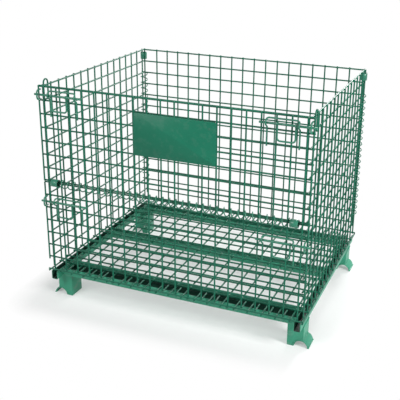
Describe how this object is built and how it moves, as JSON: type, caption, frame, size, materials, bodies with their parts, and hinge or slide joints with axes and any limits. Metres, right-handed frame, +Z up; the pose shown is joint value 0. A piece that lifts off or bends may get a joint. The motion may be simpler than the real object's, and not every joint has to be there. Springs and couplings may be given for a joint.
{
  "type": "wire mesh container",
  "caption": "Folding, stacking wire mesh storage cage on four feet, with a coil-hinged drop gate locked by sliding bolts.",
  "frame": {"origin": "on the ground, under the middle of the whole container's bounding box", "axes": "+X to the right along the long side, -Y out of the front with the drop gate, +Z up"},
  "size_m": [1.022, 0.8178, 0.851],
  "materials": {
    "wire_paint": "thick green paint over welded steel wire, worn a little at the crossings",
    "frame_paint": "green paint over pressed steel sheet, with a soft sheen",
    "hardware_paint": "green paint over bent steel rod and spring coils",
    "plate_paint": "smooth green paint on a flat sheet"
  },
  "bodies": {
    "base": {"back_rim": "wire_paint", "back_rows": "wire_paint", "back_uprights": "wire_paint", "cross_channel_front": "frame_paint", "cross_channel_middle": "frame_paint", "cross_channel_rear": "frame_paint", "floor_columns": "wire_paint", "floor_edge_wires": "wire_paint", "floor_rows": "wire_paint", "foot_front_left": "frame_paint", "foot_front_right": "frame_paint", "foot_rear_left": "frame_paint", "foot_rear_right": "frame_paint", "hinge_clip_rear_left": "hardware_paint", "hinge_clip_rear_right": "hardware_paint", "hinge_coil_rear_left": "hardware_paint", "hinge_coil_rear_right": "hardware_paint", "saddle_front_left": "frame_paint", "saddle_front_right": "frame_paint", "saddle_rear_left": "frame_paint", "saddle_rear_right": "frame_paint", "side_channel_left": "frame_paint", "side_channel_right": "frame_paint"},
    "side_left": {"side_uprights_left": "wire_paint", "side_rows_left": "wire_paint", "side_rim_left": "wire_paint", "corner_loop_left": "wire_paint"},
    "side_right": {"side_uprights_right": "wire_paint", "side_rows_right": "wire_paint", "side_rim_right": "wire_paint", "corner_loop_right": "wire_paint"},
    "lower_front": {"lower_uprights": "wire_paint", "lower_rows": "wire_paint", "hinge_coil_middle": "hardware_paint", "hinge_clip_middle_left": "hardware_paint", "hinge_clip_middle_right": "hardware_paint", "guide_lower_left": "hardware_paint", "guide_lower_right": "hardware_paint", "bolt_loop_lower_left": "hardware_paint", "bolt_loop_lower_right": "hardware_paint"},
    "upper_gate": {"gate_uprights": "wire_paint", "gate_rows": "wire_paint", "gate_rim": "wire_paint", "label_plate": "plate_paint", "guide_upper_left": "hardware_paint", "guide_upper_right": "hardware_paint", "bolt_loop_upper_left": "hardware_paint", "bolt_loop_upper_right": "hardware_paint"},
    "bolt_upper_left": {"bolt_upper_left": "hardware_paint"},
    "handle_upper_left": {"handle_upper_left": "hardware_paint"},
    "bolt_upper_right": {"bolt_upper_right": "hardware_paint"},
    "handle_upper_right": {"handle_upper_right": "hardware_paint"},
    "bolt_lower_left": {"bolt_lower_left": "hardware_paint"},
    "handle_lower_left": {"handle_lower_left": "hardware_paint"},
    "bolt_lower_right": {"bolt_lower_right": "hardware_paint"},
    "handle_lower_right": {"handle_lower_right": "hardware_paint"}
  },
  "joints": [
    {"name": "lower_front_fold", "type": "hinge", "parent": "base", "child": "lower_front", "pos_m": [0, -0.39215, 0.1271], "axis": [1, 0, 0], "range_deg": [0, 90]},
    {"name": "upper_gate_fold", "type": "hinge", "parent": "lower_front", "child": "upper_gate", "pos_m": [0, -0.38845, 0.477], "axis": [1, 0, 0], "range_deg": [0, 150]},
    {"name": "side_left_fold", "type": "hinge", "parent": "base", "child": "side_left", "pos_m": [-0.4847, 0.382, 0.481], "axis": [0, 0, 1], "range_deg": [0, 89]},
    {"name": "side_right_fold", "type": "hinge", "parent": "base", "child": "side_right", "pos_m": [0.4847, 0.382, 0.481], "axis": [0, 0, -1], "range_deg": [0, 82]},
    {"name": "bolt_upper_left_slide", "type": "slide", "parent": "upper_gate", "child": "bolt_upper_left", "axis": [1, 0, 0], "range_m": [0, 0.028]},
    {"name": "handle_upper_left_lift", "type": "hinge", "parent": "bolt_upper_left", "child": "handle_upper_left", "pos_m": [-0.41, -0.39515, 0.802], "axis": [-1, 0, 0], "range_deg": [0, 150]},
    {"name": "bolt_upper_right_slide", "type": "slide", "parent": "upper_gate", "child": "bolt_upper_right", "axis": [-1, 0, 0], "range_m": [0, 0.028]},
    {"name": "handle_upper_right_lift", "type": "hinge", "parent": "bolt_upper_right", "child": "handle_upper_right", "pos_m": [0.41, -0.39515, 0.802], "axis": [-1, 0, 0], "range_deg": [0, 150]},
    {"name": "bolt_lower_left_slide", "type": "slide", "parent": "lower_front", "child": "bolt_lower_left", "axis": [1, 0, 0], "range_m": [0, 0.028]},
    {"name": "handle_lower_left_lift", "type": "hinge", "parent": "bolt_lower_left", "child": "handle_lower_left", "pos_m": [-0.41, -0.39515, 0.403], "axis": [1, 0, 0], "range_deg": [-150, 0]},
    {"name": "bolt_lower_right_slide", "type": "slide", "parent": "lower_front", "child": "bolt_lower_right", "axis": [-1, 0, 0], "range_m": [0, 0.028]},
    {"name": "handle_lower_right_lift", "type": "hinge", "parent": "bolt_lower_right", "child": "handle_lower_right", "pos_m": [0.41, -0.39515, 0.403], "axis": [1, 0, 0], "range_deg": [-150, 0]}
  ]
}
